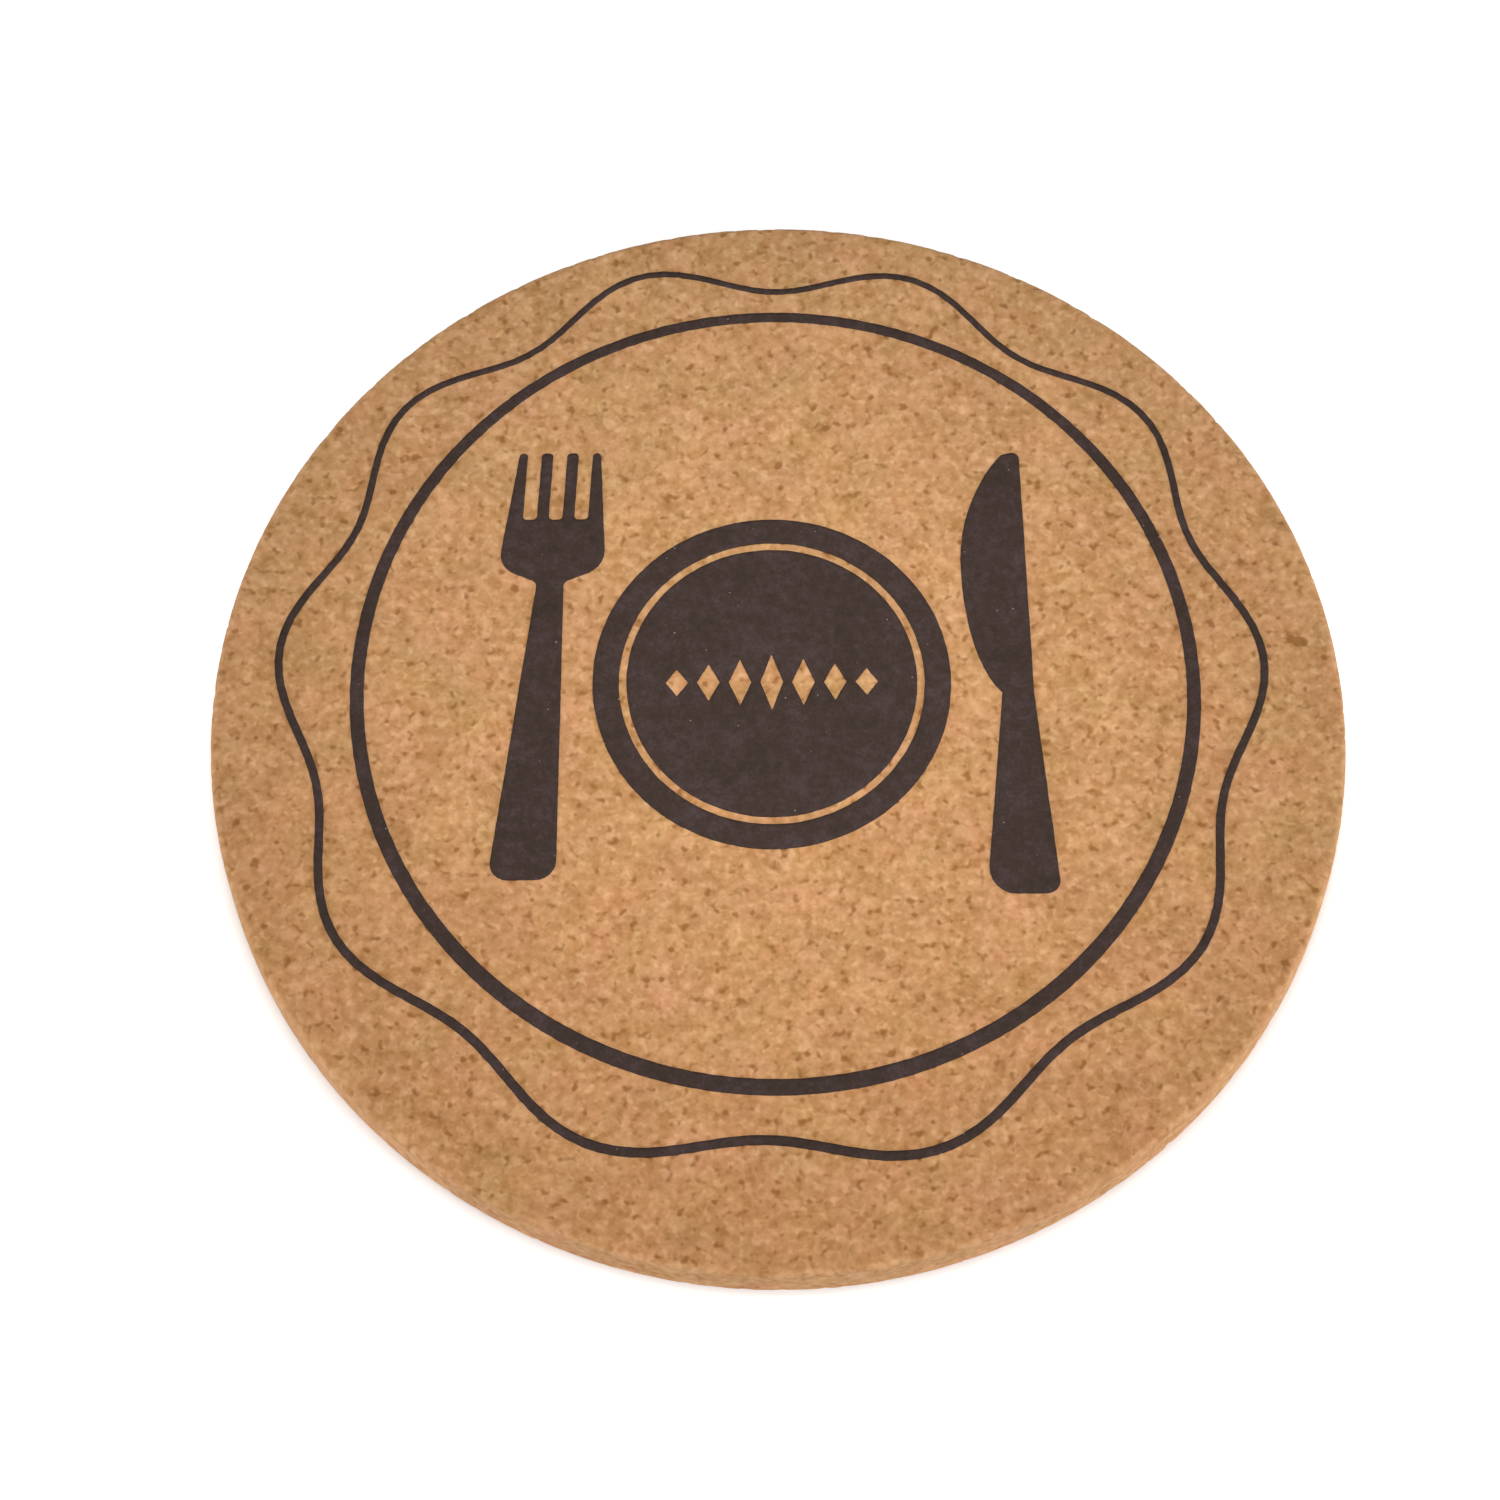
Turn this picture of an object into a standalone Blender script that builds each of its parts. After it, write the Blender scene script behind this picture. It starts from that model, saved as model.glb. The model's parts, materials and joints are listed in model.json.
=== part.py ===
"""Round coaster of pressed cork with a printed table setting, modelled in metres.

The coaster is one disc, cut from a sheet of pressed cork granules. Six separate areas of dark
ink lie on its top face: a scalloped line, a circle line, a fork, a knife, and the rim and well
of a plate. The origin is the middle of the underside, +Z is up and the tines point to +Y.
"""
import math

import bmesh
import bpy
from mathutils import Vector
from mathutils.geometry import interpolate_bezier

MM = 0.001

# Cork disc
DISC_DIAMETER = 100.0 * MM
DISC_THICKNESS = 5.0 * MM
EDGE_ROUND = 0.6 * MM

# Ink, how far the print sits off the middle of the disc, and the share of their width by which
# the two border lines are finer at +Y and heavier at -Y
INK_FILM = 0.1 * MM
PRINT_SHIFT_X = -0.6 * MM
PRINT_SHIFT_Y = 2.55 * MM
LINE_TAPER = 0.22

# Scalloped line: its outermost points keep a margin to the flat face's edge
EDGE_MARGIN = 2.6 * MM
SCALLOP_LINE = 0.72 * MM
SCALLOP_HEIGHT = 1.6 * MM
SCALLOP_COUNT = 10
SCALLOP_CROWDING = 1.0
SCALLOP_TURN = math.radians(1.1)

# Circle line: it keeps clear of the scallops, a little off their middle
CIRCLE_GAP = 1.7 * MM
CIRCLE_LINE = 1.22 * MM
CIRCLE_SHIFT_X = 0.4 * MM
CIRCLE_SHIFT_Y = 0.9 * MM

# Plate: the cutlery lies in the band between its edge and the circle line
CUTLERY_BAND = 20.5 * MM
PLATE_SHIFT_X = -0.3 * MM
PLATE_SHIFT_Y = 0.8 * MM
PLATE_RIM = 2.35 * MM
RIM_LINE = 0.65 * MM

# Row of bare lozenges in the ink of the plate's well, lower towards its ends
LOZENGE_WIDTH = 2.0 * MM
LOZENGE_HEIGHT = 5.4 * MM
LOZENGE_END_HEIGHT = 2.6 * MM
LOZENGE_GAP = 0.8 * MM
LOZENGE_MARGIN = 2.6 * MM

# Fork: its axis lies off the plate's edge, its ends keep clear of the circle line. It leans as
# slanted letters do, so that its tips stay level, and it bows a little towards the plate.
FORK_OFFSET = 4.7 * MM
FORK_LEAN = math.radians(4.3)
FORK_BOW = 0.15 * MM
FORK_TIP_CLEARANCE = 3.7 * MM
FORK_END_CLEARANCE = 9.4 * MM
FORK_TIP_WIDTH = 7.3 * MM
FORK_HEAD_WIDTH = 9.6 * MM
FORK_HEAD_LENGTH = 12.75 * MM
FORK_SHOULDER = 1.5 * MM
FORK_SHOULDER_ROUND = 2.2 * MM
FORK_TINE_COUNT = 4
FORK_TINE_LENGTH = 6.6 * MM
FORK_TINE_ROUND = 0.35 * MM
FORK_SLOT_WIDTH = 1.25 * MM
FORK_SLOT_ROUND = 0.4 * MM
FORK_SLOT_PITCH = 2.3 * MM
FORK_NECK_WIDTH = 2.4 * MM
FORK_NECK_ROUND = 0.6 * MM
FORK_END_WIDTH = 6.0 * MM
FORK_END_ROUND = 1.7 * MM

# Knife: laid out like the fork, with its cutting edge towards the plate
KNIFE_OFFSET = 5.9 * MM
KNIFE_TIP_CLEARANCE = 6.3 * MM
KNIFE_END_CLEARANCE = 7.05 * MM
KNIFE_BLADE_LENGTH = 23.7 * MM
KNIFE_BELLY_WIDTH = 4.8 * MM
KNIFE_BELLY_HEIGHT = 13.0 * MM
KNIFE_HEEL_FLARE = 2.2 * MM
KNIFE_TIP_DEPTH = 1.6 * MM
KNIFE_SPINE_TOP = 0.7 * MM
KNIFE_TIP_ROUND = 1.4 * MM
KNIFE_NECK_WIDTH = 2.8 * MM
KNIFE_END_WIDTH = 6.5 * MM
KNIFE_END_ROUND = 1.2 * MM
KNIFE_EDGE_END_ROUND = 2.4 * MM

# Most of a side that the rounding at one end of it may take, and the fullness of the blade
ROUND_SHARE = 0.49
BLADE_FULLNESS = 0.44

# Fineness of the facets
DISC_SEGMENTS = 160
EDGE_STEPS = 4
CIRCLE_SEGMENTS = 120
SCALLOP_SEGMENTS = 200
CORNER_STEP = math.radians(18.0)
BLADE_STEPS = 12
SHARP_ANGLE = math.radians(35.0)

# Finishes: sRGB colour and roughness
CORK_COLOUR = (0.77, 0.57, 0.38)
CORK_ROUGHNESS = 0.85
INK_COLOUR = (0.285, 0.235, 0.215)
INK_ROUGHNESS = 0.6

# Radii that follow from the sizes above, from the edge of the disc inwards
edge_round = min(EDGE_ROUND, DISC_THICKNESS * ROUND_SHARE)
face_radius = DISC_DIAMETER / 2 - edge_round
scallop_outer = face_radius - EDGE_MARGIN - math.hypot(PRINT_SHIFT_X, PRINT_SHIFT_Y)
scallop_middle = scallop_outer - SCALLOP_LINE / 2 - SCALLOP_HEIGHT
scallop_inner = scallop_middle - SCALLOP_HEIGHT - SCALLOP_LINE / 2
circle_outer = scallop_inner - CIRCLE_GAP - math.hypot(CIRCLE_SHIFT_X, CIRCLE_SHIFT_Y)
circle_inner = circle_outer - CIRCLE_LINE
circle_inner_shift = CIRCLE_LINE * LINE_TAPER
plate_radius = circle_inner - CUTLERY_BAND
rim_inner = plate_radius - PLATE_RIM
well_radius = rim_inner - RIM_LINE


def linear(channel):
    """One sRGB channel as the linear value that a shader takes."""
    return channel / 12.92 if channel <= 0.04045 else ((channel + 0.055) / 1.055) ** 2.4


def add_piece(name, form, colour, roughness):
    """Turn a bmesh into a named object with a material of its own."""
    bmesh.ops.recalc_face_normals(form, faces=form.faces)
    mesh = bpy.data.meshes.new(name)
    form.to_mesh(mesh)
    form.free()
    material = bpy.data.materials.new(name + "_finish")
    material.use_nodes = True
    shader = material.node_tree.nodes["Principled BSDF"]
    shader.inputs["Base Color"].default_value = [linear(channel) for channel in colour] + [1.0]
    shader.inputs["Roughness"].default_value = roughness
    shader.inputs["Metallic"].default_value = 0.0
    mesh.materials.append(material)
    piece = bpy.data.objects.new(name, mesh)
    bpy.context.scene.collection.objects.link(piece)
    return piece


def add_middle(name, location, parent=None):
    """An empty that the pieces printed about one point hang from."""
    middle = bpy.data.objects.new(name, None)
    middle.location = location
    middle.parent = parent
    bpy.context.scene.collection.objects.link(middle)
    return middle


def circle(radius, segments=CIRCLE_SEGMENTS):
    """Points round a circle about the origin."""
    turns = [2 * math.pi * step / segments for step in range(segments)]
    return [Vector((radius * math.cos(turn), radius * math.sin(turn))) for turn in turns]


def rounded(corners):
    """A closed outline through (x, y, radius) corners, with an arc at each round one."""
    outline = []
    for index, (x, y, radius) in enumerate(corners):
        corner = Vector((x, y))
        back = Vector(corners[index - 1][:2]) - corner
        ahead = Vector(corners[(index + 1) % len(corners)][:2]) - corner
        turn = math.pi - back.angle(ahead)
        if radius == 0.0 or turn < CORNER_STEP / 10:
            outline.append(corner)
            continue
        reach = min(radius * math.tan(turn / 2), min(back.length, ahead.length) * ROUND_SHARE)
        start = corner + back.normalized() * reach
        bisector = (back.normalized() + ahead.normalized()).normalized()
        middle = corner + bisector * (reach / math.sin(turn / 2))
        spoke = start - middle
        sweep = math.copysign(turn, back.cross(ahead))
        steps = max(2, math.ceil(turn / CORNER_STEP))
        for step in range(steps + 1):
            angle = -sweep * step / steps
            cosine, sine = math.cos(angle), math.sin(angle)
            outline.append(middle + Vector((spoke.x * cosine - spoke.y * sine,
                                            spoke.x * sine + spoke.y * cosine)))
    return outline


def raise_film(sheet):
    """Thicken a flat sheet of faces at height zero into a film of ink."""
    raised = bmesh.ops.extrude_face_region(sheet, geom=sheet.faces[:])
    tops = [item for item in raised["geom"] if isinstance(item, bmesh.types.BMVert)]
    bmesh.ops.translate(sheet, verts=tops, vec=(0.0, 0.0, INK_FILM))


def print_area(name, outline, bare=()):
    """A film of ink inside an outline, with bare shapes left out of it."""
    sheet = bmesh.new()
    for loop in (outline, *bare):
        verts = [sheet.verts.new((point.x, point.y, 0.0)) for point in loop]
        for index, vert in enumerate(verts):
            sheet.edges.new((verts[index - 1], vert))
    bmesh.ops.triangle_fill(sheet, use_beauty=True, edges=sheet.edges[:], normal=(0.0, 0.0, 1.0))
    raise_film(sheet)
    return add_piece(name, sheet, INK_COLOUR, INK_ROUGHNESS)


def print_line(name, inner, outer):
    """A closed line of ink between two outlines that have as many points each."""
    sheet = bmesh.new()
    near = [sheet.verts.new((point.x, point.y, 0.0)) for point in inner]
    far = [sheet.verts.new((point.x, point.y, 0.0)) for point in outer]
    for index in range(len(near)):
        sheet.faces.new((near[index - 1], far[index - 1], far[index], near[index]))
    raise_film(sheet)
    return add_piece(name, sheet, INK_COLOUR, INK_ROUGHNESS)


def make_cork_disc():
    """The disc, turned from half of its section: two flat faces and two rounded edges."""
    section = []
    for first, centre_z in ((-90.0, edge_round), (0.0, DISC_THICKNESS - edge_round)):
        for step in range(EDGE_STEPS + 1):
            angle = math.radians(first + 90.0 * step / EDGE_STEPS)
            section.append((face_radius + edge_round * math.cos(angle),
                            centre_z + edge_round * math.sin(angle)))
    disc = bmesh.new()
    rings = [[disc.verts.new((point.x, point.y, z)) for point in circle(radius, DISC_SEGMENTS)]
             for radius, z in section]
    for low, high in zip(rings, rings[1:]):
        for index in range(DISC_SEGMENTS):
            disc.faces.new((low[index - 1], low[index], high[index], high[index - 1]))
    disc.faces.new(rings[0])
    disc.faces.new(rings[-1])
    piece = add_piece("cork_disc", disc, CORK_COLOUR, CORK_ROUGHNESS)
    piece.data.shade_smooth()
    piece.data.set_sharp_from_angle(angle=SHARP_ANGLE)


def scallop_point(turn):
    """A point of the scalloped line's middle: a wave whose lobes crowd a little towards +Y."""
    wave = SCALLOP_COUNT * (turn - SCALLOP_TURN) + SCALLOP_CROWDING * math.sin(turn)
    radius = scallop_middle - SCALLOP_HEIGHT * math.cos(wave)
    return Vector((radius * math.sin(turn), radius * math.cos(turn)))


def make_scalloped_border(parent):
    """The wavy line: two rails, half the line's width there either side of its middle."""
    inner, outer = [], []
    half_step = math.pi / SCALLOP_SEGMENTS
    for index in range(SCALLOP_SEGMENTS):
        turn = 2 * half_step * index
        along = scallop_point(turn + half_step) - scallop_point(turn - half_step)
        half_width = SCALLOP_LINE / 2 * (1 - LINE_TAPER * math.cos(turn))
        outwards = Vector((-along.y, along.x)).normalized() * half_width
        inner.append(scallop_point(turn) - outwards)
        outer.append(scallop_point(turn) + outwards)
    print_line("scalloped_border_print", inner, outer).parent = parent


def make_circle_border(parent):
    """The circle line: its inside lies off the middle of its outside, which tapers the line."""
    inside = [point + Vector((0.0, circle_inner_shift)) for point in circle(circle_inner)]
    print_line("circle_border_print", inside, circle(circle_outer)).parent = parent


def lozenge(x, height):
    """One bare lozenge of the row."""
    return [Vector((x - LOZENGE_WIDTH / 2, 0.0)), Vector((x, -height / 2)),
            Vector((x + LOZENGE_WIDTH / 2, 0.0)), Vector((x, height / 2))]


def lozenge_row():
    """As many lozenges as the plate's well has room for, highest in the middle."""
    pitch = LOZENGE_WIDTH + LOZENGE_GAP
    each_side = math.floor((well_radius - LOZENGE_MARGIN - LOZENGE_WIDTH / 2) / pitch)
    drop = (LOZENGE_HEIGHT - LOZENGE_END_HEIGHT) / max(each_side, 1)
    return [lozenge(place * pitch, LOZENGE_HEIGHT - drop * abs(place))
            for place in range(-each_side, each_side + 1)]


def make_plate(parent):
    """The plate: a broad rim, a thin bare line and a well with a row of bare lozenges."""
    print_line("plate_rim_print", circle(rim_inner), circle(plate_radius)).parent = parent
    print_area("plate_well_print", circle(well_radius), lozenge_row()).parent = parent


def inside_top(x):
    """How far above its middle the circle line's inside lies, at a distance to one side."""
    return circle_inner_shift + math.sqrt(circle_inner ** 2 - x ** 2)


def inside_bottom(x):
    """The same at the lower half of the circle line, where it is a negative height."""
    return circle_inner_shift - math.sqrt(circle_inner ** 2 - x ** 2)


def make_fork(parent):
    """The fork, upright about its own axis and level with the plate, then slanted and bowed."""
    axis = plate_radius + FORK_OFFSET
    side = axis - PLATE_SHIFT_X
    top = inside_top(side + FORK_TIP_WIDTH / 2) - FORK_TIP_CLEARANCE - PLATE_SHIFT_Y
    end = inside_bottom(side + FORK_END_WIDTH / 2) + FORK_END_CLEARANCE - PLATE_SHIFT_Y
    neck = top - FORK_HEAD_LENGTH
    slot_end = top - FORK_TINE_LENGTH
    right_half = [(FORK_TIP_WIDTH / 2, top, FORK_TINE_ROUND),
                  (FORK_HEAD_WIDTH / 2, neck + FORK_SHOULDER, FORK_SHOULDER_ROUND),
                  (FORK_NECK_WIDTH / 2, neck, FORK_NECK_ROUND),
                  (FORK_END_WIDTH / 2, end, FORK_END_ROUND)]
    corners = right_half + [(-x, y, radius) for x, y, radius in reversed(right_half)]
    for slot in range(FORK_TINE_COUNT - 1):
        middle = (slot - (FORK_TINE_COUNT - 2) / 2) * FORK_SLOT_PITCH
        left, right = middle - FORK_SLOT_WIDTH / 2, middle + FORK_SLOT_WIDTH / 2
        corners += [(left, top, FORK_TINE_ROUND), (left, slot_end, FORK_SLOT_ROUND),
                    (right, slot_end, FORK_SLOT_ROUND), (right, top, FORK_TINE_ROUND)]
    half_way, half_length = (top + end) / 2, (top - end) / 2
    outline = []
    for point in rounded(corners):
        bow = FORK_BOW * (1 - ((point.y - half_way) / half_length) ** 2)
        outline.append(point + Vector((math.tan(FORK_LEAN) * point.y + bow, 0.0)))
    fork = print_area("fork_print", outline)
    fork.parent = parent
    fork.location.x = -axis


def make_knife(parent):
    """The knife: a bellied cutting edge, a straight back and a handle that widens downwards."""
    axis = plate_radius + KNIFE_OFFSET
    side = axis + PLATE_SHIFT_X
    top = inside_top(side) - KNIFE_TIP_CLEARANCE - PLATE_SHIFT_Y
    end = inside_bottom(side + KNIFE_END_WIDTH / 2) + KNIFE_END_CLEARANCE - PLATE_SHIFT_Y
    heel_height = top - KNIFE_BLADE_LENGTH
    half_neck = KNIFE_NECK_WIDTH / 2
    heel = Vector((-half_neck, heel_height))
    belly = Vector((-KNIFE_BELLY_WIDTH, heel_height + KNIFE_BELLY_HEIGHT))
    nose = Vector((KNIFE_SPINE_TOP - KNIFE_TIP_DEPTH, top - KNIFE_TIP_DEPTH / 4))
    below_belly = belly - Vector((0.0, KNIFE_BELLY_HEIGHT * BLADE_FULLNESS))
    above_belly = belly + Vector((0.0, (nose.y - belly.y) * BLADE_FULLNESS))
    edge = interpolate_bezier(heel, heel + Vector((-KNIFE_HEEL_FLARE, KNIFE_HEEL_FLARE)),
                              below_belly, belly, BLADE_STEPS)
    edge += interpolate_bezier(belly, above_belly,
                               nose - Vector((KNIFE_TIP_DEPTH, KNIFE_TIP_DEPTH)),
                               nose, BLADE_STEPS)[1:]
    corners = [(point.x, point.y, 0.0) for point in edge]
    corners += [(KNIFE_SPINE_TOP, top, KNIFE_TIP_ROUND), (half_neck, heel_height, 0.0),
                (KNIFE_END_WIDTH / 2, end, KNIFE_END_ROUND),
                (-KNIFE_END_WIDTH / 2, end, KNIFE_EDGE_END_ROUND)]
    knife = print_area("knife_print", rounded(corners))
    knife.parent = parent
    knife.location.x = axis


def main():
    """Clear the scene, then make the disc and the areas of ink that lie on it."""
    for old in list(bpy.data.objects):
        bpy.data.objects.remove(old, do_unlink=True)
    make_cork_disc()
    print_middle = add_middle("print_middle", (PRINT_SHIFT_X, PRINT_SHIFT_Y, DISC_THICKNESS))
    make_scalloped_border(print_middle)
    circle_middle = add_middle("circle_middle", (CIRCLE_SHIFT_X, CIRCLE_SHIFT_Y, 0.0), print_middle)
    make_circle_border(circle_middle)
    plate_middle = add_middle("plate_middle", (PLATE_SHIFT_X, PLATE_SHIFT_Y, 0.0), circle_middle)
    make_plate(plate_middle)
    make_fork(plate_middle)
    make_knife(plate_middle)


main()
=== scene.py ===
# %% [markdown]
# A round cork coaster with a table setting printed on its top: a scalloped line, a circle, a fork, a plate
# and a knife. The imported CAD part is loaded first and stays where it is, as the frame that everything else
# is placed by.

# %% Load the frame
import json
import math

import bmesh
import bpy
import numpy as np
from mathutils import Matrix, Vector, geometry, noise

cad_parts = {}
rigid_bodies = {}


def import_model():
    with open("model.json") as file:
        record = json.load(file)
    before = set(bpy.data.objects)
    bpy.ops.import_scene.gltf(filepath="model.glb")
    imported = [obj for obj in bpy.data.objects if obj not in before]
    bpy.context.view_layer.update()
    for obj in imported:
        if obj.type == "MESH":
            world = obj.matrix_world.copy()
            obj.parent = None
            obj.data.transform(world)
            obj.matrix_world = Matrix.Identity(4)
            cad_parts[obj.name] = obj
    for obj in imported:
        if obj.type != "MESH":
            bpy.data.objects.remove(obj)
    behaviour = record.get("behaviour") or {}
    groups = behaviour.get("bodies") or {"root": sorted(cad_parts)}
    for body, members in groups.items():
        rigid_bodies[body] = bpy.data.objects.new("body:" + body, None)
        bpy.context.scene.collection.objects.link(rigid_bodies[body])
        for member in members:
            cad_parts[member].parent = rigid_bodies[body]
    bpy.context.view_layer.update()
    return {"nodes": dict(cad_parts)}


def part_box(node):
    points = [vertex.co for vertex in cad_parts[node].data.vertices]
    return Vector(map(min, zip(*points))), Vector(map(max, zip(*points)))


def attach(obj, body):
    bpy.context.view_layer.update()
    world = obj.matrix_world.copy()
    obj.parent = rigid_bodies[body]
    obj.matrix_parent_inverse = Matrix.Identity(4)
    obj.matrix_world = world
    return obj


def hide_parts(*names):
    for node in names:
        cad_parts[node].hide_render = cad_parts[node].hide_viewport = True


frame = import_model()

MM = 0.001
disc_low, disc_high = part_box("cork_disc")
RADIUS = (disc_high.x - disc_low.x) / 2
FACE_HEIGHT = disc_high.z
PRINTS = [name for name in frame["nodes"] if name.endswith("_print")]
print(f"cork disc {2 * RADIUS / MM:.1f} mm across and {FACE_HEIGHT / MM:.1f} mm thick, prints: {PRINTS}")

# %% [markdown]
# Three small helpers serve the cells below. The first turns a colour as a painter would note it, an sRGB
# hex value, into the linear light that Blender's shaders add up. The second adds one node to a node tree,
# with its settings and with its sockets set or linked. The third makes an object of points and faces.
# Lengths are in metres, as in the frame, and a size in millimetres is written as a number times MM.


# %% Helpers
def linear(code):
    """A hex colour such as C49262 as linear RGBA."""
    values = [int(code[i : i + 2], 16) / 255 for i in (0, 2, 4)]
    light = [v / 12.92 if v <= 0.04045 else ((v + 0.055) / 1.055) ** 2.4 for v in values]
    return (*light, 1.0)


def add(tree, kind, inputs=None, stops=None, **settings):
    """Adds a node. Its inputs are values or other nodes' outputs, its stops a colour ramp's tones."""
    node = tree.nodes.new(kind)
    for name, value in settings.items():
        setattr(node, name, value)
    for socket, value in (inputs or {}).items():
        if isinstance(value, bpy.types.NodeSocket):
            tree.links.new(value, node.inputs[socket])
        else:
            node.inputs[socket].default_value = value
    for place in list(stops or {})[1:-1]:
        node.color_ramp.elements.new(place)
    for index, code in enumerate((stops or {}).values()):
        node.color_ramp.elements[index].color = linear(code)
    return node


def make_object(name, points, faces):
    """A smooth-shaded mesh object of these points and faces."""
    mesh = bpy.data.meshes.new(name)
    mesh.from_pydata(np.asarray(points).tolist(), [], faces)
    mesh.polygons.foreach_set("use_smooth", [True] * len(mesh.polygons))
    mesh.validate()
    made = bpy.data.objects.new(name, mesh)
    bpy.context.scene.collection.objects.link(made)
    return made


print("a tan noted as C49262 is", [round(value, 3) for value in linear("C49262")], "in linear light")

# %% [markdown]
# The camera stands where the photograph was taken from: above the near side, looking steeply down through a
# long lens. It could be set by eye, but a printed circle shows each degree of tilt. So its place and tilt
# were worked out from how the circles and the rim lie in the picture.

# %% Camera
LENS = 110
SENSOR = 36
NEAREST = 0.01
CAMERA_PLACE = (-2.474 * MM, -156.373 * MM, 376.888 * MM)
CAMERA_TILT = math.radians(22.513)
CAMERA_ROLL = math.radians(-0.45)

lens = bpy.data.cameras.new("camera")
lens.lens = LENS
lens.sensor_width = SENSOR
lens.clip_start = NEAREST
camera = bpy.data.objects.new("camera", lens)
camera.matrix_world = (
    Matrix.Translation(CAMERA_PLACE)
    @ Matrix.Rotation(CAMERA_TILT, 4, "X")
    @ Matrix.Rotation(CAMERA_ROLL, 4, "Z")
)
bpy.context.scene.collection.objects.link(camera)
bpy.context.scene.camera = camera
bpy.context.scene.view_settings.view_transform = "Standard"
print(f"camera {Vector(CAMERA_PLACE).length / MM:.0f} mm from the middle of the underside")

# %% [markdown]
# The coaster lies on a white table in a white room. More light would turn both of them white in the picture,
# but it would bleach the coaster too. So their materials ask what kind of ray meets them. What the camera
# sees, directly or in a shiny or clear surface, is white, and all other light meets a dim room and ordinary
# paint.

# %% White room
ROOM_LIGHT = 0.16


def seen_rays(tree):
    """A socket that is 1 for rays from the camera, straight or through a reflection or a clear surface."""
    rays = add(tree, "ShaderNodeLightPath").outputs
    seen = rays["Is Camera Ray"]
    for name in ("Is Glossy Ray", "Is Transmission Ray"):
        seen = add(tree, "ShaderNodeMath", {0: seen, 1: rays[name]}, operation="MAXIMUM").outputs[0]
    return seen


room = bpy.data.worlds.new("white_room")
room.use_nodes = True
tree = room.node_tree
tree.nodes.clear()
strength = add(
    tree, "ShaderNodeMapRange", {"Value": seen_rays(tree), "To Min": ROOM_LIGHT, "To Max": 1.0}
).outputs["Result"]
walls = add(tree, "ShaderNodeBackground", {"Color": (1, 1, 1, 1), "Strength": strength})
add(tree, "ShaderNodeOutputWorld", {"Surface": walls.outputs[0]})
bpy.context.scene.world = room
print(f"the room gives {ROOM_LIGHT:.0%} of a full white light")

# %% [markdown]
# The table is matt paint on a smooth board. To the camera it is a pale surface with a glow of its own, so it
# reaches white where the lamps light it fully, and the coaster's shadow stays. The glow grows to a full white
# a few centimetres further out, where the lamps' light falls off.

# %% White table, in metres
TABLE_SIDE = 4.0
TABLE_PAINT = "E6E6E6"
TABLE_SHADE = 0.95
TABLE_GLOW = 0.42
SHADOW_REACH = (0.05, 0.13)


def new_material(name):
    """An empty node material."""
    made = bpy.data.materials.new(name)
    made.use_nodes = True
    made.node_tree.nodes.clear()
    return made


half = TABLE_SIDE / 2
table = make_object(
    "table", [(-half, -half, 0), (half, -half, 0), (half, half, 0), (-half, half, 0)], [(0, 1, 2, 3)]
)
matt_paint = new_material("matt_white_paint")
tree = matt_paint.node_tree
place = add(tree, "ShaderNodeTexCoord").outputs["Object"]
away = add(tree, "ShaderNodeVectorMath", {0: place}, operation="LENGTH").outputs["Value"]
near, far = SHADOW_REACH
level = add(
    tree,
    "ShaderNodeMapRange",
    {"Value": away, "From Min": near, "From Max": far, "To Min": TABLE_GLOW, "To Max": 1.0},
).outputs["Result"]
glow = add(tree, "ShaderNodeEmission", {"Strength": level})
shaded = add(tree, "ShaderNodeBsdfDiffuse", {"Color": (TABLE_SHADE, TABLE_SHADE, TABLE_SHADE, 1)})
white = add(tree, "ShaderNodeAddShader", {0: shaded.outputs[0], 1: glow.outputs[0]})
painted = add(tree, "ShaderNodeBsdfDiffuse", {"Color": linear(TABLE_PAINT)})
look = add(tree, "ShaderNodeMixShader", {0: seen_rays(tree), 1: painted.outputs[0], 2: white.outputs[0]})
add(tree, "ShaderNodeOutputMaterial", {"Surface": look.outputs[0]})
table.data.materials.append(matt_paint)
print(f"table {TABLE_SIDE:.0f} m wide")

# %% [markdown]
# Three softboxes light the set. A single large one would light the face evenly and leave the wall dark. So
# one hangs over the plate and pools its light there, with a grid that keeps it from spreading, and two stand
# low at the sides, towards the camera, and light the wall. Together with the room they make a white surface
# near the plate render white, so a colour shows about as it is written.

# %% Softboxes, in metres and watts
SOFTBOXES = {
    "overhead_softbox": {
        "place": (0.002, 0.003, 0.24), "aim": (0.002, 0.003, 0), "side": 0.10, "watts": 0.0285, "spread": 40
    },
    "right_softbox": {
        "place": (0.61, -0.27, 0.17), "aim": (0, 0, 0), "side": 0.40, "watts": 2.84, "spread": 180
    },
    "left_softbox": {
        "place": (-0.61, -0.27, 0.17), "aim": (0, 0, 0), "side": 0.40, "watts": 2.28, "spread": 180
    },
}

for name, box in SOFTBOXES.items():
    lamp = bpy.data.lights.new(name, "AREA")
    lamp.shape = "SQUARE"
    lamp.size = box["side"]
    lamp.energy = box["watts"]
    lamp.spread = math.radians(box["spread"])
    beam = Vector(box["place"]) - Vector(box["aim"])
    softbox = bpy.data.objects.new(name, lamp)
    softbox.location = box["place"]
    softbox.rotation_euler = beam.to_track_quat("Z", "Y").to_euler()
    softbox.visible_camera = False
    bpy.context.scene.collection.objects.link(softbox)
    print(f"{name}: {box['watts']} W from {beam.length:.2f} m")

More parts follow.
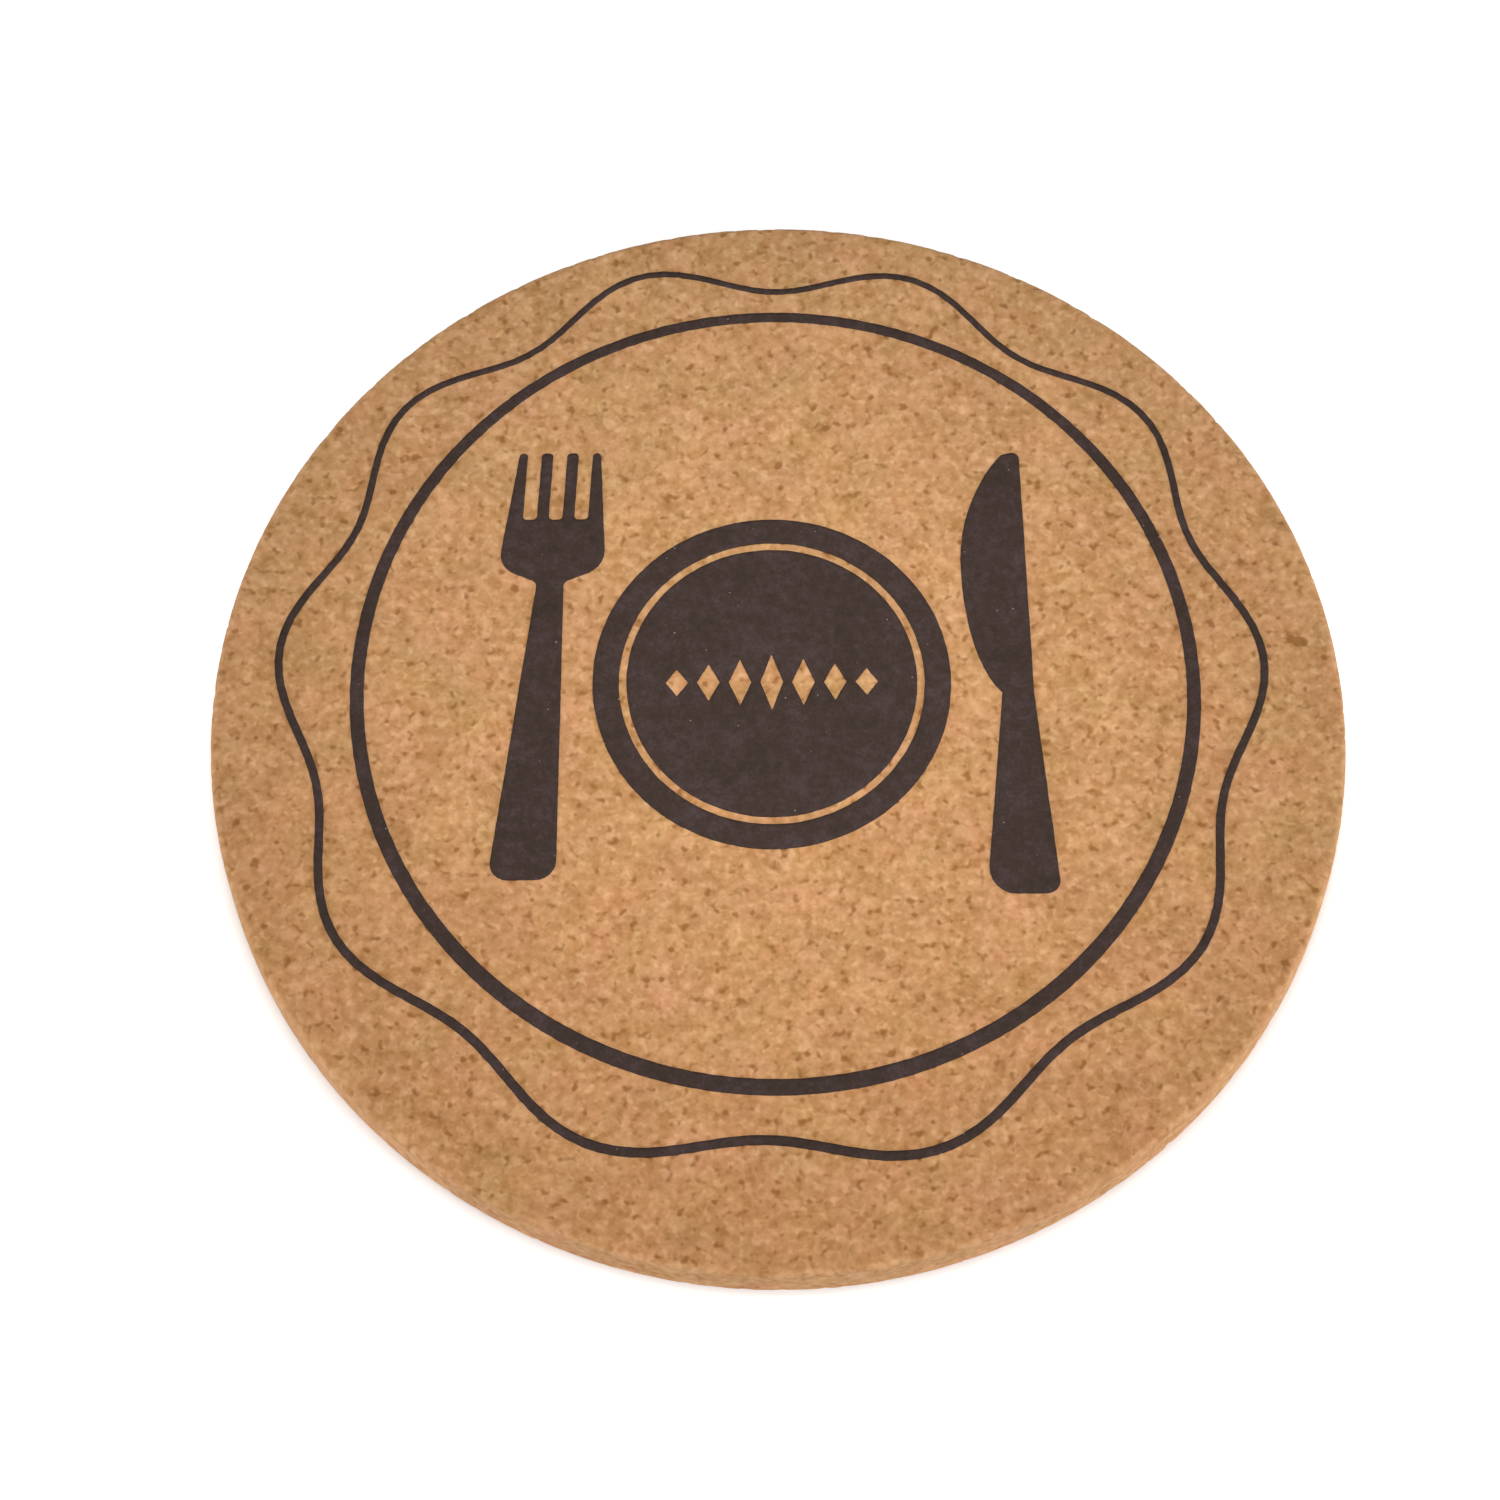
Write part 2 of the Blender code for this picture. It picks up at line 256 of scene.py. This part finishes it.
# %% [markdown]
# Coaster cork is agglomerated: bark is ground to granules of about a millimetre, bound, pressed into a
# block, sliced and sanded. Each granule keeps its own tone, cream flakes and bits of dark bark lie among
# them, and the sanding leaves small hollows. The same pattern is needed twice, as colour and as relief, so
# it is written as functions that add it to any node tree: a shader's, or the geometry nodes further down.
# It is drawn in space rather than on the surface, so the cut wall shows the same granules in section.
# First come the flakes and flecks, which are the peaks of a noise, cut off by a soft step. The flakes are
# read from another place in that noise, a shift away, so that they don't follow the flecks.

# %% Flakes and flecks, in millimetres
FLECK = 1.0
FLECK_EDGE = (0.56, 0.76)
FLAKE = 0.9
FLAKE_EDGE = (0.54, 0.76)
FLAKE_SHIFT = (31.0, 17.0, 5.0)
PATCH_DETAIL = 1.0
PATCH_ROUGHNESS = 0.6


def soft_step(tree, value, start, end):
    """A socket that rises smoothly from 0, with the value at its start, to 1, with the value at its end."""
    return add(
        tree,
        "ShaderNodeMapRange",
        {"Value": value, "From Min": start, "From Max": end},
        interpolation_type="SMOOTHSTEP",
    ).outputs["Result"]


def patches(tree, place, spacing, edge):
    """A mask of ragged patches about that many millimetres apart. A higher edge leaves fewer of them."""
    field = add(
        tree,
        "ShaderNodeTexNoise",
        {"Vector": place, "Scale": 1 / spacing, "Detail": PATCH_DETAIL, "Roughness": PATCH_ROUGHNESS},
    )
    return soft_step(tree, field.outputs["Fac"], *edge)


print(f"bark flecks about {FLECK} mm apart, cream flakes about {FLAKE} mm apart")

# %% [markdown]
# One piece of bark in the photograph is larger than the rest, near the rim on the knife's side. It could be a
# mesh of its own, but in the pattern it gets its colour and its hollow together. It is a small ellipsoid in
# the cork's space, turned in the plane of the face, with an edge made ragged by the mottle.

# %% A large piece of bark, in millimetres
BARK_PLACE = (46.1, 8.0, 5.0)
BARK_HALF_SIZE = (1.35, 0.55, 0.6)
BARK_TURN = math.radians(-20)
BARK_EDGE = (1.15, 0.6)
BARK_RAGGEDNESS = 1.4


def weigh(tree, parts, start=0.0):
    """The sum of sockets, each times its weight."""
    total = start
    for socket, weight in parts:
        total = add(
            tree, "ShaderNodeMath", {0: socket, 1: weight, 2: total}, operation="MULTIPLY_ADD"
        ).outputs[0]
    return total


def bark_piece(tree, place, mottle):
    """A mask of that one piece."""
    turned = add(
        tree,
        "ShaderNodeVectorRotate",
        {"Vector": place, "Center": BARK_PLACE, "Angle": -BARK_TURN},
        rotation_type="Z_AXIS",
    )
    away = add(tree, "ShaderNodeVectorMath", {0: turned.outputs[0], 1: BARK_PLACE}, operation="SUBTRACT")
    share = add(tree, "ShaderNodeVectorMath", {0: away.outputs[0], 1: BARK_HALF_SIZE}, operation="DIVIDE")
    reach = add(tree, "ShaderNodeVectorMath", {0: share.outputs[0]}, operation="LENGTH").outputs["Value"]
    ragged = weigh(tree, [(reach, 1.0), (mottle, BARK_RAGGEDNESS)], start=-BARK_RAGGEDNESS / 2)
    return soft_step(tree, ragged, *BARK_EDGE)


print(f"one piece of bark {2 * BARK_HALF_SIZE[0]} mm long at {BARK_PLACE} mm")

# %% [markdown]
# The granules themselves are the cells of a Voronoi pattern. Alone it looks like crystals, so a swirl of
# noise bends its places until no cell keeps a straight side, and three plain noises lie over the cells: a
# mottle as large as a granule, a finer grit, and clouds a few granules wide.

# %% Granules, in millimetres
GRANULE = 0.80
GRANULE_SMOOTHNESS = 0.35
BEND = 0.45
NOISES = {"swirl": 0.7, "mottle": 0.78, "grit": 0.30, "cloud": 4.5}


def granules(tree, place):
    """Adds the cork pattern to a node tree. place is a position in metres; the sockets come back by name."""
    measured = add(tree, "ShaderNodeVectorMath", {0: place, "Scale": 1 / MM}, operation="SCALE").outputs[0]
    noises = {
        name: add(tree, "ShaderNodeTexNoise", {"Vector": measured, "Scale": 1 / size}).outputs
        for name, size in NOISES.items()
    }
    bent = add(
        tree,
        "ShaderNodeVectorMath",
        {0: noises["swirl"]["Color"], 1: (BEND, BEND, BEND), 2: measured},
        operation="MULTIPLY_ADD",
    )
    grains = add(
        tree,
        "ShaderNodeTexVoronoi",
        {"Vector": bent.outputs[0], "Scale": 1 / GRANULE, "Smoothness": GRANULE_SMOOTHNESS},
        feature="SMOOTH_F1",
    )
    flecks = patches(tree, measured, FLECK, FLECK_EDGE)
    piece = bark_piece(tree, measured, noises["mottle"]["Fac"])
    moved = add(tree, "ShaderNodeVectorMath", {0: measured, 1: FLAKE_SHIFT}, operation="ADD").outputs[0]
    return {
        "measured": measured,
        "grain": add(tree, "ShaderNodeSeparateXYZ", {0: grains.outputs["Color"]}).outputs[0],
        "mottle": noises["mottle"]["Fac"],
        "grit": noises["grit"]["Fac"],
        "cloud": noises["cloud"]["Fac"],
        "tint": noises["cloud"]["Color"],
        "fleck": add(tree, "ShaderNodeMath", {0: flecks, 1: piece}, operation="MAXIMUM").outputs[0],
        "flake": patches(tree, moved, FLAKE, FLAKE_EDGE),
    }


print(f"granules {GRANULE} mm wide, under noises of {NOISES} mm")

# %% [markdown]
# The relief has to be in the mesh, so that it shows at the rim and stays with the exported model. A Displace
# modifier would bring textures of its own, which don't match the colours. Geometry nodes can evaluate the
# very texture nodes that shaders use. A bare cloud of points goes through them, and comes back with the
# depth of the hollow at each point, in metres.

# %% Depth of the hollows
FLECK_DEPTH = 0.11 * MM
MOTTLE_DEPTH = 0.08 * MM

hollows = bpy.data.node_groups.new("cork_hollows", "GeometryNodeTree")
hollows.interface.new_socket("Geometry", in_out="INPUT", socket_type="NodeSocketGeometry")
hollows.interface.new_socket("Geometry", in_out="OUTPUT", socket_type="NodeSocketGeometry")
cork = granules(hollows, add(hollows, "GeometryNodeInputPosition").outputs[0])
depth = weigh(
    hollows, [(cork["fleck"], FLECK_DEPTH), (cork["mottle"], -MOTTLE_DEPTH)], start=MOTTLE_DEPTH
)
stored = add(
    hollows,
    "GeometryNodeStoreNamedAttribute",
    {"Geometry": add(hollows, "NodeGroupInput").outputs[0], "Name": "depth", "Value": depth},
)
add(hollows, "NodeGroupOutput", {0: stored.outputs[0]})


def hollow_depth(points):
    """How deep the cork is hollowed at each point, in metres."""
    cloud = make_object("depth_probe", points, [])
    cloud.modifiers.new("hollows", "NODES").node_group = hollows
    probed = cloud.evaluated_get(bpy.context.evaluated_depsgraph_get())
    found = np.zeros(len(points), np.float32)
    probed.data.attributes["depth"].data.foreach_get("value", found)
    mesh = cloud.data
    bpy.data.objects.remove(cloud)
    bpy.data.meshes.remove(mesh)
    return found


print(f"hollow at the middle of the face: {hollow_depth([(0, 0, FACE_HEIGHT)])[0] / MM:.3f} mm deep")

# %% [markdown]
# The disc was stamped from the sheet: two sanded faces and a wall with a slightly rounded, crumbly edge. A
# face made of rings and spokes would crowd its points in the middle. So a square grid is folded onto the
# circle: each of its square rings becomes a round one, and all the cells keep about the same area. The
# underside lies on the table and takes a coarser grid.

# %% Sanded faces
FACE_CELLS = 250
UNDER_CELLS = FACE_CELLS // 2
EDGE_ROUND = 0.6 * MM
FLAT_RADIUS = RADIUS - EDGE_ROUND


def disc_grid(cells, height):
    """Points of a square grid folded onto the flat of a face, in rows of cells + 1, and its faces."""
    a, b = np.meshgrid(np.linspace(-1, 1, cells + 1), np.linspace(-1, 1, cells + 1), indexing="xy")
    wide = np.abs(a) > np.abs(b)
    reach = np.where(wide, a, b)
    safe = np.where(reach == 0, 1.0, reach)
    turn = np.where(wide, math.pi / 4 * b / safe, math.pi / 2 - math.pi / 4 * a / safe)
    folded = np.stack([reach * np.cos(turn), reach * np.sin(turn), np.zeros_like(a)], -1).reshape(-1, 3)
    first = (np.arange(cells)[:, None] * (cells + 1) + np.arange(cells)).ravel()
    faces = np.stack([first, first + 1, first + cells + 2, first + cells + 1], 1)
    return folded * FLAT_RADIUS + (0, 0, height), faces


def grid_rim(cells):
    """The grid's outer points in order, counterclockwise from its lowest left corner."""
    row = cells + 1
    last = row * row - 1
    sides = [(0, cells, 1), (cells, last, row), (last, row * cells, -1), (row * cells, 0, -row)]
    return np.concatenate([np.arange(*side) for side in sides])


top_points, top_faces = disc_grid(FACE_CELLS, FACE_HEIGHT)
under_points, under_faces = disc_grid(UNDER_CELLS, 0.0)
print(f"faces of {len(top_faces)} and {len(under_faces)} cells")

# %% [markdown]
# The wall's profile goes round the upper edge, straight down and round the lower edge. Each of its places is
# a radius and a height, with the normal there, outwards and up, because the hollows are sunk along it.

# %% Profile of the wall
EDGE_STEPS = 5
WALL_STEPS = 10

turns = [math.pi / 2 * step / EDGE_STEPS for step in range(1, EDGE_STEPS + 1)]
edge = [(FLAT_RADIUS + EDGE_ROUND * math.sin(t), EDGE_ROUND * (1 - math.cos(t)), t) for t in turns]
heights = np.linspace(FACE_HEIGHT - EDGE_ROUND, EDGE_ROUND, WALL_STEPS + 1)[1:-1]
profile = [(r, FACE_HEIGHT - drop, math.sin(t), math.cos(t)) for r, drop, t in edge]
profile += [(RADIUS, z, 1.0, 0.0) for z in heights]
profile += [(r, drop, math.sin(t), -math.cos(t)) for r, drop, t in reversed(edge)]
print(f"profile of {len(profile)} places, edges rounded by {EDGE_ROUND / MM:.1f} mm")

# %% [markdown]
# The wall is that profile carried round: a stack of rings, each with as many points as the rim of the upper
# face. Bands of faces join the rings, and a band of triangles joins the last one to the underside's rim,
# which has half as many points.


# %% Cut wall
def band(above, below):
    """Faces between two rings of as many points."""
    return np.stack([above, below, np.roll(below, -1), np.roll(above, -1)], 1).tolist()


def halving_band(above, below):
    """Triangles from a ring to one of half as many points."""
    first, middle, last = above[0::2], above[1::2], np.roll(above[0::2], -1)
    ahead = np.roll(below, -1)
    corners = [(first, below, middle), (middle, below, ahead), (middle, ahead, last)]
    return [face for three in corners for face in np.stack(three, 1).tolist()]


rim = grid_rim(FACE_CELLS)
outward = top_points[rim] * (1, 1, 0) / FLAT_RADIUS
wall_points = np.concatenate([outward * r + (0, 0, z) for r, z, out, up in profile])
wall_normals = np.concatenate([outward * out + (0, 0, up) for r, z, out, up in profile])
rings = [rim] + list(np.arange(len(wall_points)).reshape(len(profile), -1) + len(top_points))
under_start = len(top_points) + len(wall_points)
faces = top_faces.tolist()
for above, below in zip(rings, rings[1:]):
    faces += band(above, below)
faces += halving_band(rings[-1], grid_rim(UNDER_CELLS) + under_start)
faces += (under_faces[:, ::-1] + under_start).tolist()
print(f"wall of {len(rings)} rings with {len(rim)} points each")

# %% [markdown]
# Now every point sinks along its normal by the depth of its hollow, and the two edges lose a few chips where
# the stamp broke granules out. The points only go inwards, so the disc keeps the size of the frame. A value
# on each point tells the finish how much it belongs to the cut wall.

# %% Sink the hollows
CHIP_SPACING = 1.6 * MM
CHIP_DEPTH = 0.24 * MM
CHIP_ONSET = 0.15

points = np.concatenate([top_points, wall_points, under_points])
normals = np.concatenate(
    [np.tile((0, 0, 1), (len(top_points), 1)), wall_normals, np.tile((0, 0, -1), (len(under_points), 1))]
)
sideways = np.hypot(normals[:, 0], normals[:, 1])
# 1 halfway round an edge, 0 on the faces and on the straight of the wall
at_edge = 2 * sideways * np.abs(normals[:, 2])
sunk = hollow_depth(points)
for index in np.flatnonzero(at_edge > 0):
    chip = max(0.0, noise.noise(Vector(points[index]) / CHIP_SPACING) - CHIP_ONSET)
    sunk[index] += CHIP_DEPTH * chip * at_edge[index]

cork_body = make_object("cork_body", points - normals * sunk[:, None], faces)
cut_wall = cork_body.data.attributes.new("cut_wall", "FLOAT", "POINT")
cut_wall.data.foreach_set("value", sideways.astype(np.float32))
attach(cork_body, "root")
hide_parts("cork_disc")
triangles = sum(len(face) - 2 for face in faces)
print(f"cork_body: {triangles} triangles, hollows up to {sunk.max() / MM:.2f} mm deep")

# %% [markdown]
# Pressed cork, sanded. To the eye it is a warm tan of many small tones, most of them near the mean. The tones
# lie on a ramp, and the granules and noises together choose the place on it. The stamped wall is moved up the
# ramp and is paler than the faces. Part of this is real, because the wall is cut fresh through the granules.
# Part is painted light for the light the wall catches.

# %% Sanded pressed cork, its tones
CORK_TONES = {0.0: "9E693C", 0.3: "BB8652", 0.5: "CB9664", 0.7: "D8A474", 1.0: "E8BD90"}
CORK_SHARES = {"grain": 0.25, "mottle": 0.9, "grit": 0.16, "cloud": 0.3}
# How far up the ramp the wall is moved: partly the paler fresh cut, partly painted light on the wall
WALL_PALENESS_AND_LIGHT = 0.20


def balanced(tree, pattern, shares):
    """The weighed sum of a pattern's sockets, moved so that it is 0.5 where all of them are 0.5."""
    parts = [(pattern[name], share) for name, share in shares.items()]
    return weigh(tree, parts, start=0.5 - sum(shares.values()) / 2)


sanded_cork = new_material("sanded_pressed_cork")
tree = sanded_cork.node_tree
cork = granules(tree, add(tree, "ShaderNodeTexCoord").outputs["Object"])
wall = add(tree, "ShaderNodeAttribute", attribute_name="cut_wall").outputs["Fac"]
# The wall's tone is painted paler: partly the fresh cut, partly painted light
tone = weigh(tree, [(wall, WALL_PALENESS_AND_LIGHT)], start=balanced(tree, cork, CORK_SHARES))
tan = add(tree, "ShaderNodeValToRGB", {"Fac": tone}, stops=CORK_TONES).outputs["Color"]
print(f"cork of {len(CORK_TONES)} tones, chosen by {CORK_SHARES}")

# %% [markdown]
# Over the tones come the cream flakes, and then the flecks of bark, darker and browner, which show less on
# the wall. A sheet of cork also varies in colour over a few granules, as a random tint. On top of that the
# colour is painted warmer towards the near side and cooler towards the far side: painted light, a colour cast
# of the light across the disc. Both are tints, so they multiply the colour.

# %% Sanded pressed cork, its flakes, flecks, tint and painted colour cast
CREAM = "EFC08C"
FLAKE_STRENGTH = 0.45
BARK = "945F2A"
FLECK_STRENGTH = 0.8
WALL_CALM = 0.6
TINT = 0.18
# Painted light: how much cooler the far side's colour is painted, and the near side warmer, per channel
FAR_SIDE_LIGHT_CAST = (-0.02, 0.02, 0.05)
# A Mix node has a pair of sockets for each kind of value: these are its two colours and its mixed colour.
MIX_UNDER, MIX_OVER, MIX_COLOUR = 6, 7, 2


def lay_over(tree, under, code, share):
    """A hex colour laid over a colour socket, as far as a share from 0 to 1 says."""
    return add(
        tree, "ShaderNodeMix", {"Factor": share, MIX_UNDER: under, MIX_OVER: linear(code)}, data_type="RGBA"
    ).outputs[MIX_COLOUR]


flaked = lay_over(tree, tan, CREAM, weigh(tree, [(cork["flake"], FLAKE_STRENGTH)]))
calmed = weigh(tree, [(wall, -WALL_CALM * FLECK_STRENGTH)], start=FLECK_STRENGTH)
bark_share = add(tree, "ShaderNodeMath", {0: cork["fleck"], 1: calmed}, operation="MULTIPLY").outputs[0]
flecked = lay_over(tree, flaked, BARK, bark_share)
# The colour is painted warmer at the near side and cooler at the far side: painted light, a colour cast
# across the disc
across = add(tree, "ShaderNodeSeparateXYZ", {0: cork["measured"]}).outputs["Y"]
per_mm = [share * MM / RADIUS for share in FAR_SIDE_LIGHT_CAST]
light_cast = add(tree, "ShaderNodeVectorMath", {0: per_mm, "Scale": across}, operation="SCALE").outputs[0]
base_and_light_cast = add(tree, "ShaderNodeVectorMath", {0: light_cast, 1: [1 - TINT / 2] * 3}, operation="ADD").outputs[0]
tint = add(
    tree, "ShaderNodeVectorMath", {0: cork["tint"], 1: [TINT] * 3, 2: base_and_light_cast}, operation="MULTIPLY_ADD"
).outputs[0]
colour = add(tree, "ShaderNodeVectorMath", {0: flecked, 1: tint}, operation="MULTIPLY").outputs[0]
print(f"flakes cover up to {FLAKE_STRENGTH:.0%}, flecks up to {FLECK_STRENGTH:.0%}")

# %% [markdown]
# Cork is matt: the cut cells scatter light, and only a little shine is left from the binder. So the roughness
# is high and varies with the mottle, and the specular level is low. A fine bump adds the grit between the
# points of the mesh. The ink will end in the same kind of surface, with values of its own.

# %% Sanded pressed cork, its surface
ROUGHNESS_SPREAD = 0.2
CORK_FINISH = {"ior": 1.5, "roughness": 0.85, "shine": 0.25, "bump": 0.03 * MM, "bump_strength": 0.6}


def add_surface(tree, colour, mottle, height, finish):
    """Ends a material: the roughness follows the mottle, and the bump follows the height."""
    smoothest = finish["roughness"] - ROUGHNESS_SPREAD / 2
    bump = add(
        tree,
        "ShaderNodeBump",
        {"Height": height, "Distance": finish["bump"], "Strength": finish["bump_strength"]},
    )
    surface = add(
        tree,
        "ShaderNodeBsdfPrincipled",
        {
            "Base Color": colour,
            "IOR": finish["ior"],
            "Roughness": weigh(tree, [(mottle, ROUGHNESS_SPREAD)], start=smoothest),
            "Specular IOR Level": finish["shine"],
            "Normal": bump.outputs["Normal"],
        },
    )
    add(tree, "ShaderNodeOutputMaterial", {"Surface": surface.outputs[0]})


height = weigh(tree, [(cork["grit"], 1.0), (cork["mottle"], 1.0), (cork["fleck"], -1.0)])
add_surface(tree, colour, cork["mottle"], height, CORK_FINISH)
cork_body.data.materials.append(sanded_cork)
print(f"{sanded_cork.name}: {len(tree.nodes)} nodes, roughness about {CORK_FINISH['roughness']}")

# %% [markdown]
# The design was screen printed: ink pressed through a mesh lies as a thin film on the cork. It could be a
# mask in the cork's material, but a film has a body, an edge and a gloss of its own. Each film takes its
# outline from the top of its CAD node, so the drawing is exactly the frame's. An outline runs along the edges
# that have an upward face on one side only.

# %% Outlines of the print
WELD = 0.001 * MM
UPWARD = 0.9


def outlines(node):
    """The closed outlines of the node's top face, each a list of points in the plane."""
    solid = bmesh.new()
    solid.from_mesh(node.data)
    bmesh.ops.remove_doubles(solid, verts=solid.verts, dist=WELD)
    solid.normal_update()
    upper = {face for face in solid.faces if face.normal.z > UPWARD}
    following = {}
    for face in upper:
        for loop in face.loops:
            if not any(other in upper for other in loop.edge.link_faces if other is not face):
                following[loop.vert] = loop.link_loop_next.vert
    found = []
    while following:
        line, here = [], min(following, key=lambda vert: vert.index)
        while here in following:
            line.append(here.co.to_2d())
            here = following.pop(here)
        found.append(line)
    solid.free()
    return found


print_lines = {name: outlines(frame["nodes"][name]) for name in PRINTS}
print("outlines:", {name: len(lines) for name, lines in print_lines.items()})

# %% [markdown]
# On cork the ink creeps a hair's breadth along the granules, so its edge isn't quite the drawn line. The
# lines are divided finely, and each point is moved by a noise. Blender starts a vector noise at a place that
# depends on the clock, so the noise gets a seed, and every run draws the same edge.

# %% Edges of the ink
INK_LATTICE = 0.30 * MM
WAVER = 0.03 * MM
WAVER_SPACING = 0.8 * MM
WAVER_SEED = 5

noise.seed_set(WAVER_SEED)


def fine_outline(line):
    """The outline with a point every lattice step, wavered as ink creeps."""
    fine = []
    for here, there in zip(line, line[1:] + line[:1]):
        steps = max(1, round((there - here).length / INK_LATTICE))
        fine += [here.lerp(there, step / steps) for step in range(steps)]
    return [p + noise.noise_vector(p.to_3d() / WAVER_SPACING).to_2d() * WAVER for p in fine]


fine_lines = {name: [fine_outline(line) for line in lines] for name, lines in print_lines.items()}
print("points:", {name: sum(len(line) for line in lines) for name, lines in fine_lines.items()})

# %% [markdown]
# A film has to bend with the cork all over, not only at its outline, as one large polygon would. So the
# outlines are filled with an even lattice of points, and a triangulation joins them all and leaves the holes
# open. The lattice covers the outlines' whole box, and only the points that a triangle uses are kept.

# %% Fill the outlines
LATTICE_ROW = INK_LATTICE * math.sqrt(0.75)
LATTICE_CLEARANCE = 0.55 * INK_LATTICE
INSIDE_WITH_HOLES = 2
FILL_TOLERANCE = 1e-7


def lattice(lines):
    """Points of a triangular lattice over the outlines' box, clear of the lines."""
    border = np.array([p for line in lines for p in line])
    low, high = border.min(0), border.max(0)
    found = []
    for row, y in enumerate(np.arange(low[1], high[1], LATTICE_ROW)):
        x = np.arange(low[0] + (row % 2) * INK_LATTICE / 2, high[0], INK_LATTICE)
        near = border[np.abs(border[:, 1] - y) < INK_LATTICE]
        if len(near):
            gap = np.hypot(x[:, None] - near[:, 0], y - near[:, 1]).min(1)
            x = x[gap > LATTICE_CLEARANCE]
        found += [Vector((px, y)) for px in x]
    return found


def fill(lines):
    """The points in the plane and the triangles of the area that the outlines enclose."""
    points, loops = [], []
    for line in lines:
        ahead = line[1:] + line[:1]
        area = sum(here.x * there.y - there.x * here.y for here, there in zip(line, ahead))
        loop = list(range(len(points), len(points) + len(line)))
        loops.append(loop if area > 0 else loop[::-1])
        points += line
    filled = geometry.delaunay_2d_cdt(points + lattice(lines), [], loops, INSIDE_WITH_HOLES, FILL_TOLERANCE)
    used, triangles = np.unique(filled[2], return_inverse=True)
    return np.array(filled[0])[used], triangles.reshape(-1, 3).tolist()


fillings = {name: fill(lines) for name, lines in fine_lines.items()}
print("triangles:", {name: len(triangles) for name, (plane, triangles) in fillings.items()})

# %% [markdown]
# The film is laid a little above the cork and sinks half as deep into each hollow as the cork does, because
# ink runs into a hollow and partly fills it. A Solidify modifier would leave gaps under it. So its sides go
# down into the cork and a floor closes it there, and each film is one closed body.

# %% Ink films
INK_RISE = 0.05 * MM
INK_FOOT = 0.15 * MM
INK_FOLLOW = 0.5


def ink_film(plane, top):
    """The points and faces of a closed film with these points in the plane and triangles on top."""
    places = np.column_stack([plane, np.full(len(plane), FACE_HEIGHT)])
    upper = places + (0, 0, INK_RISE)
    upper[:, 2] -= INK_FOLLOW * hollow_depth(places)
    lower = places - (0, 0, INK_FOOT)
    count = len(places)
    edges = {pair for a, b, c in top for pair in ((a, b), (b, c), (c, a))}
    sides = [[b, a, a + count, b + count] for a, b in sorted(edges) if (b, a) not in edges]
    floor = [[index + count for index in reversed(face)] for face in top]
    return np.concatenate([upper, lower]), top + sides + floor


films = []
for name, filling in fillings.items():
    film = make_object(name.replace("_print", "_ink"), *ink_film(*filling))
    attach(film, "root")
    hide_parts(name)
    films.append(film)
    print(f"{film.name}: {len(film.data.polygons)} faces")

# %% [markdown]
# In the ink a few pinholes stay open, where the printing mesh left a bubble over a hollow: pale dots a tenth
# of a millimetre wide, drawn a little larger so that they show. A Voronoi pattern scatters them, one in a
# cell, and each cell's own colour decides whether it has one and how large it is.

# %% Pinholes, in millimetres
PINHOLE_SPACING = 0.7
PINHOLE_SHARE = 0.2
PINHOLE_RADIUS = (0.03, 0.10)
PINHOLE_SOFTNESS = 0.05


def pinholes(tree, place):
    """A mask of scattered dots: one in each cell of that spacing in millimetres, in a share of the cells."""
    cells = add(tree, "ShaderNodeTexVoronoi", {"Vector": place, "Scale": 1 / PINHOLE_SPACING})
    chance = add(tree, "ShaderNodeSeparateXYZ", {0: cells.outputs["Color"]}).outputs[0]
    least, most = (radius / PINHOLE_SPACING for radius in PINHOLE_RADIUS)
    size = add(
        tree,
        "ShaderNodeMapRange",
        {"Value": chance, "From Max": PINHOLE_SHARE, "To Min": most, "To Max": least},
        clamp=False,
    )
    inside = weigh(tree, [(cells.outputs["Distance"], -1.0)], start=size.outputs["Result"])
    return soft_step(tree, inside, 0.0, PINHOLE_SOFTNESS)


print(f"pinholes in {PINHOLE_SHARE:.0%} of cells {PINHOLE_SPACING} mm wide")

# %% [markdown]
# Screen-printed ink, a matt brown-black resin. It dries with a slight mottle where the cork drinks it
# unevenly, which shows in its tone and its sheen, and the grain of the cork shows through as a fine bump.

# %% Screen-printed ink
INK_TONES = {0.0: "30251D", 0.5: "41332E", 1.0: "534546"}
INK_SHARES = {"mottle": 0.9, "grit": 0.6, "cloud": 0.6}
PINHOLE = "8D8078"
PINHOLE_DEPTH = 2.0
INK_FINISH = {"ior": 1.5, "roughness": 0.7, "shine": 0.1, "bump": 0.015 * MM, "bump_strength": 0.5}

screen_ink = new_material("screen_printed_ink")
tree = screen_ink.node_tree
cork = granules(tree, add(tree, "ShaderNodeTexCoord").outputs["Object"])
holes = pinholes(tree, cork["measured"])
tone = balanced(tree, cork, INK_SHARES)
brown = add(tree, "ShaderNodeValToRGB", {"Fac": tone}, stops=INK_TONES).outputs["Color"]
dotted = lay_over(tree, brown, PINHOLE, holes)
height = weigh(tree, [(cork["grit"], 1.0), (cork["mottle"], 1.0), (holes, -PINHOLE_DEPTH)])
add_surface(tree, dotted, cork["mottle"], height, INK_FINISH)
for film in films:
    film.data.materials.append(screen_ink)
print(f"{screen_ink.name} on {len(films)} films")
